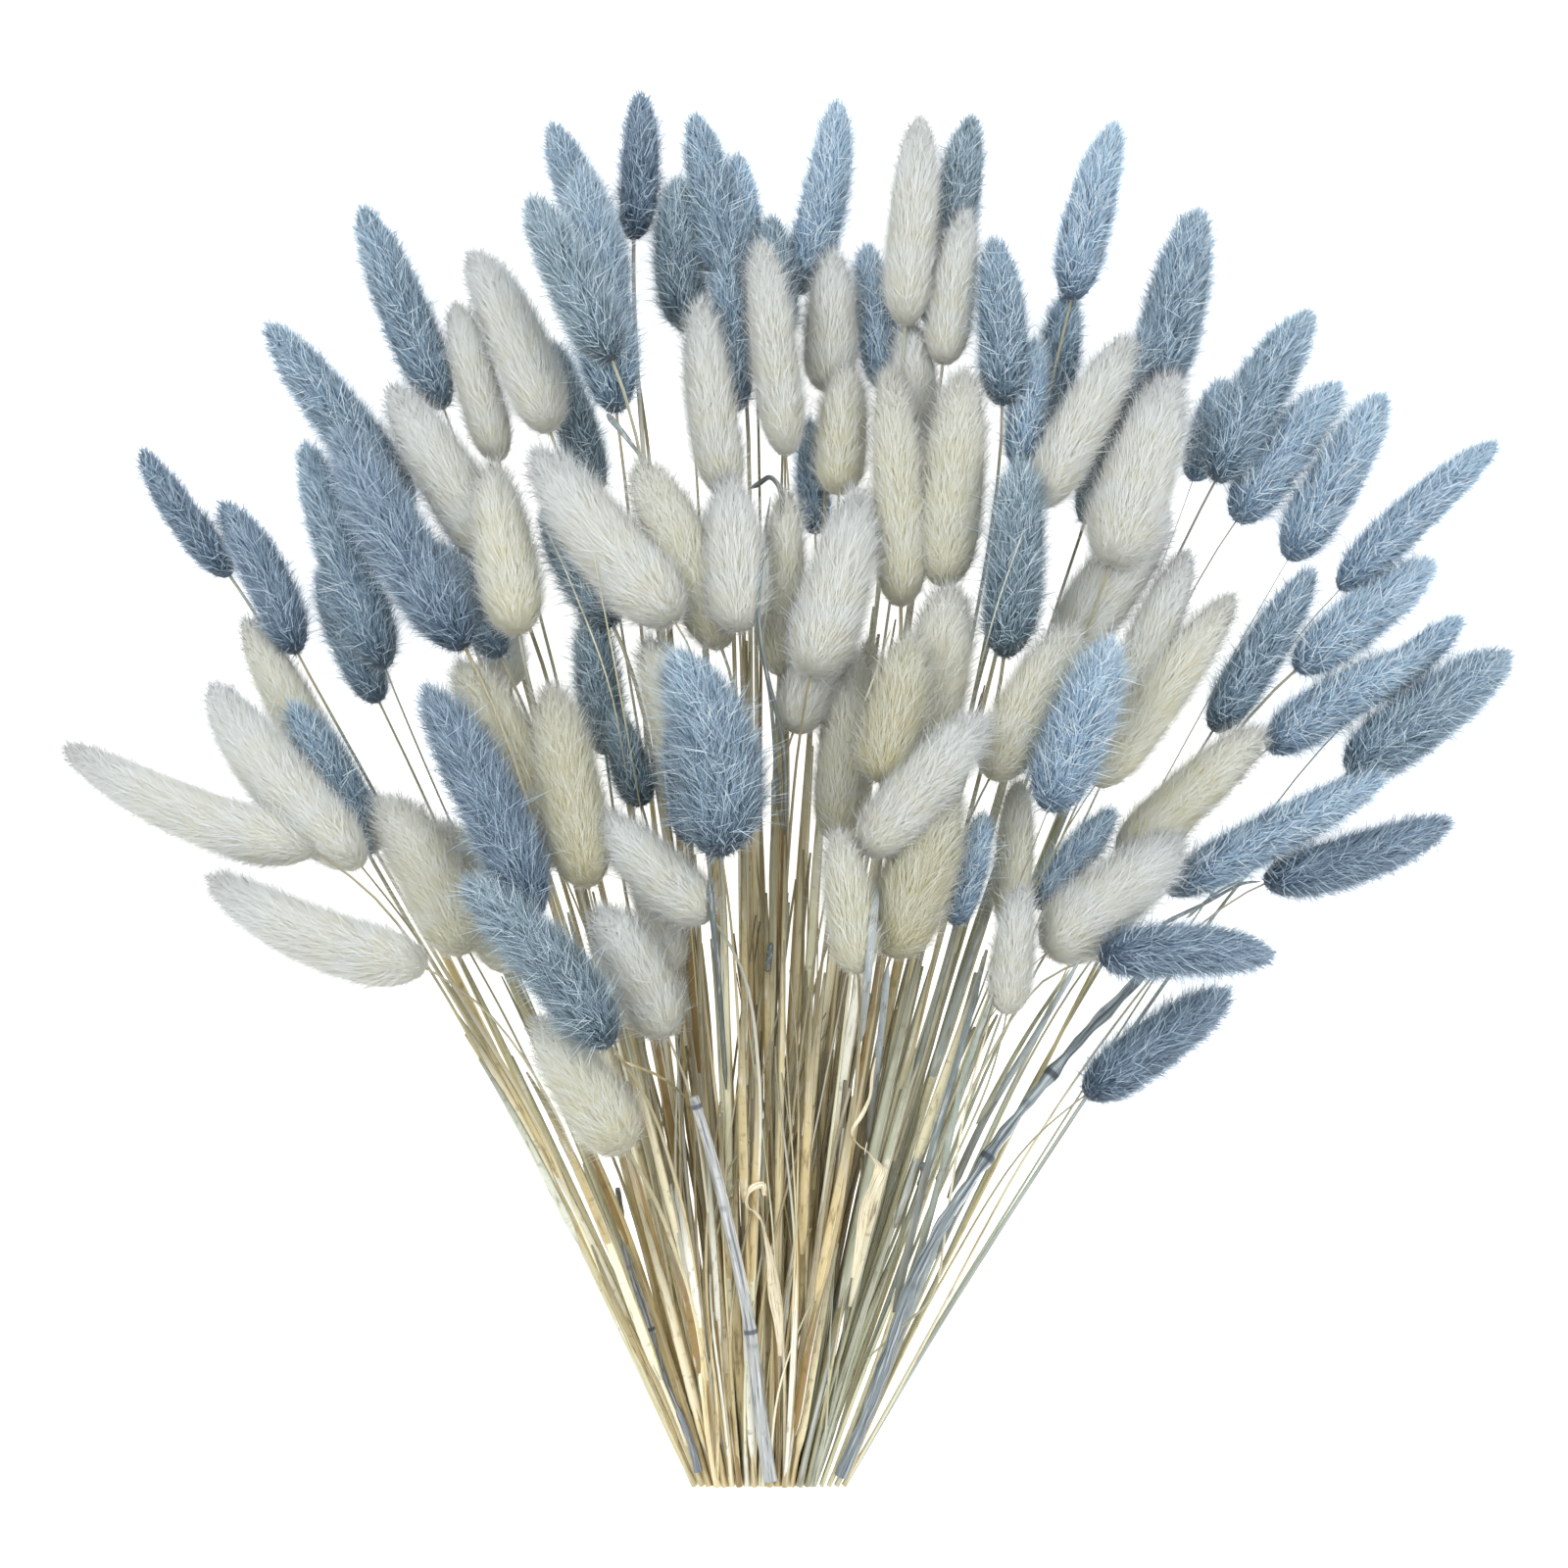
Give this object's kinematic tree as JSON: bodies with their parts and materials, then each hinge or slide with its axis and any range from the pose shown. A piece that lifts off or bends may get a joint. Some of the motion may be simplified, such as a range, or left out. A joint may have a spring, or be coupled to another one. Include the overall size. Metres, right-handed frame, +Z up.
{
  "type": "dried bunny tail grass bunch",
  "caption": "Loose fan-shaped bunch of dried bunny tail grass with soft blue and cream seed heads on thin straw stems, lying on a surface.",
  "frame": {"origin": "centre of the bounding box on the surface that the bunch lies on", "axes": "+Y from the cut stem ends to the furthest heads, +Z up from the surface"},
  "size_m": [0.4426, 0.4296, 0.0824],
  "materials": {
    "blue_hair": "matte soft hair",
    "white_hair": "matte soft hair",
    "straw_stems": "dry satin straw",
    "grey_stem": "dry matte",
    "blue_stem": "dry matte",
    "dry_leaf": "papery matte"
  },
  "bodies": {
    "root": {"stem_bundle": "straw_stems", "grey_culm": "grey_stem", "blue_grey_branch": "blue_stem", "dark_twig": "blue_stem", "curled_leaf_left": "dry_leaf", "curled_leaf_right": "dry_leaf", "blue_heads_01": "blue_hair", "blue_heads_02": "blue_hair", "blue_heads_03": "blue_hair", "blue_heads_04": "blue_hair", "blue_heads_05": "blue_hair", "blue_heads_06": "blue_hair", "blue_heads_07": "blue_hair", "blue_heads_08": "blue_hair", "blue_heads_09": "blue_hair", "blue_heads_10": "blue_hair", "blue_heads_11": "blue_hair", "blue_heads_12": "blue_hair", "blue_heads_13": "blue_hair", "blue_heads_14": "blue_hair", "blue_heads_15": "blue_hair", "blue_heads_16": "blue_hair", "blue_heads_17": "blue_hair", "blue_heads_18": "blue_hair", "blue_heads_19": "blue_hair", "blue_heads_20": "blue_hair", "blue_heads_21": "blue_hair", "blue_heads_22": "blue_hair", "blue_heads_23": "blue_hair", "blue_heads_24": "blue_hair", "blue_heads_25": "blue_hair", "white_heads_01": "white_hair", "white_heads_02": "white_hair", "white_heads_03": "white_hair", "white_heads_04": "white_hair", "white_heads_05": "white_hair", "white_heads_06": "white_hair", "white_heads_07": "white_hair", "white_heads_08": "white_hair", "white_heads_09": "white_hair", "white_heads_10": "white_hair", "white_heads_11": "white_hair", "white_heads_12": "white_hair", "white_heads_13": "white_hair", "white_heads_14": "white_hair", "white_heads_15": "white_hair", "white_heads_16": "white_hair", "white_heads_17": "white_hair", "white_heads_18": "white_hair", "white_heads_19": "white_hair", "white_heads_20": "white_hair", "white_heads_21": "white_hair", "white_heads_22": "white_hair", "white_heads_23": "white_hair", "white_heads_24": "white_hair", "white_heads_25": "white_hair", "white_heads_26": "white_hair"}
  },
  "joints": []
}
